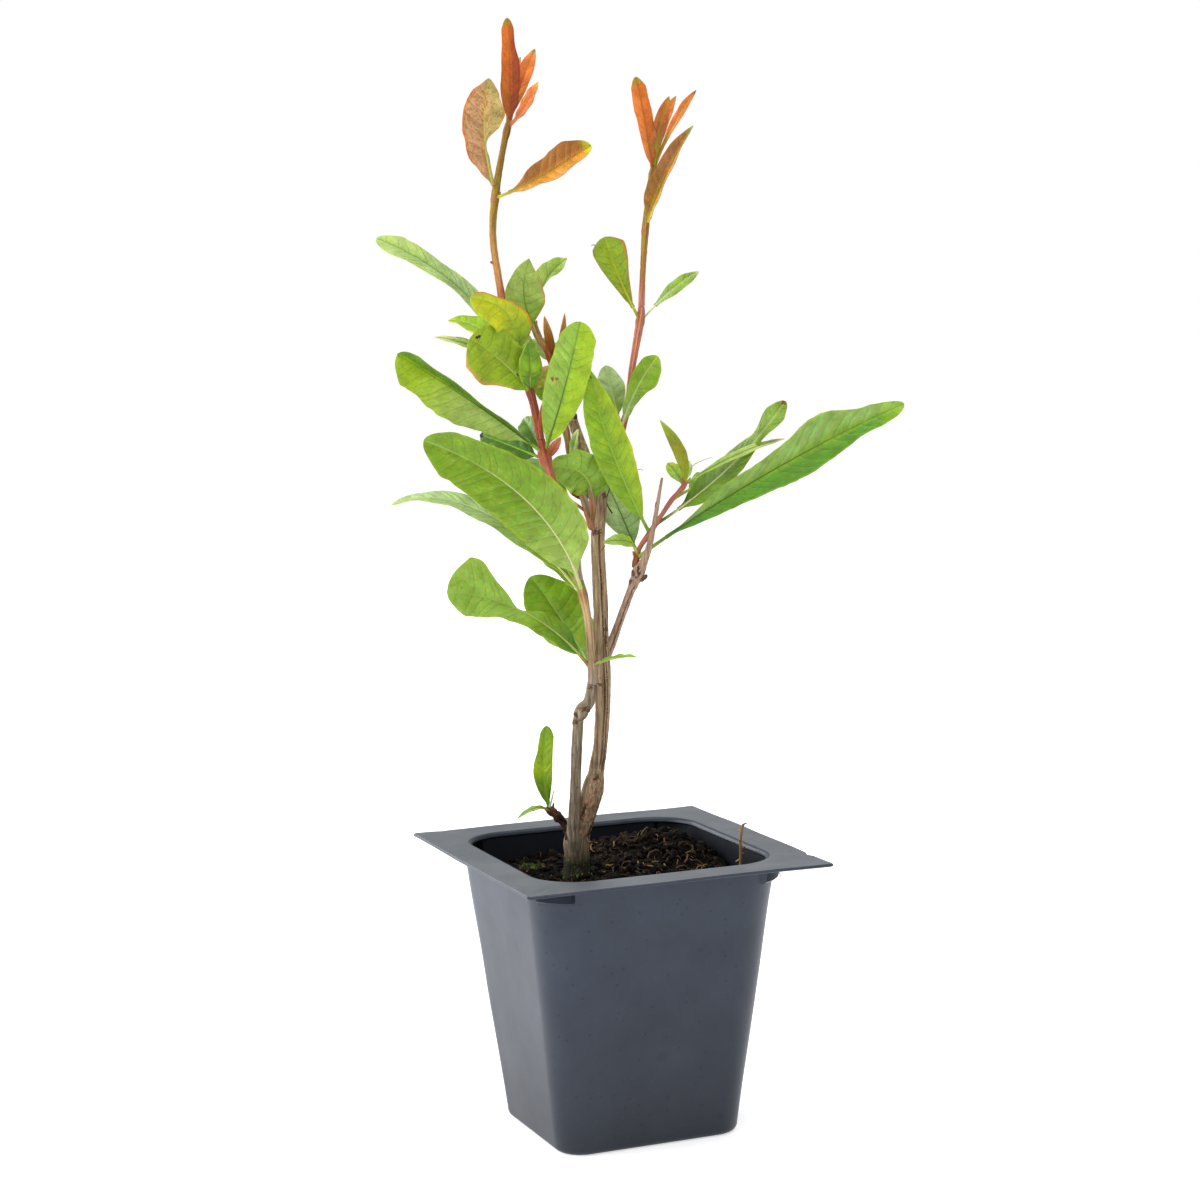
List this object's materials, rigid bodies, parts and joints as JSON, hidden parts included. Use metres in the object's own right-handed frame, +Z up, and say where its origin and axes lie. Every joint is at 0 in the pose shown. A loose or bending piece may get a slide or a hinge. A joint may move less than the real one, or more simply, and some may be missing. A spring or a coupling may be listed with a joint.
{
  "type": "potted pomegranate tree",
  "caption": "Young pomegranate tree with slim woody stems and long narrow leaves, green below and copper at the tips, standing in a square dark plastic nursery pot.",
  "frame": {"origin": "middle of the pot's flat underside", "axes": "+Z up along the plant; X and Y along the pot's sides; the plant's show side faces between -Y and -X, 22.6 degrees round from -Y"},
  "size_m": [0.1192, 0.0826, 0.2758],
  "materials": {
    "pot_plastic": "satin dark blue-grey formed plastic",
    "soil": "dark moist peat with fibres",
    "bark": "grey-brown ridged bark",
    "green_leaf": "satin green leaf",
    "yellow_leaf": "satin yellow-green leaf",
    "copper_leaf": "satin young copper leaf"
  },
  "bodies": {
    "root": {"pot": "pot_plastic", "soil": "soil", "trunk": "bark", "left_stem": "bark", "right_bough": "bark", "left_low_leaves": "green_leaf", "left_middle_leaves": "green_leaf", "left_rosette": "yellow_leaf", "left_crown": "copper_leaf", "middle_leaves": "green_leaf", "right_high_leaves": "green_leaf", "right_crown": "copper_leaf", "right_side_leaves": "green_leaf", "base_sprout": "green_leaf"}
  },
  "joints": []
}
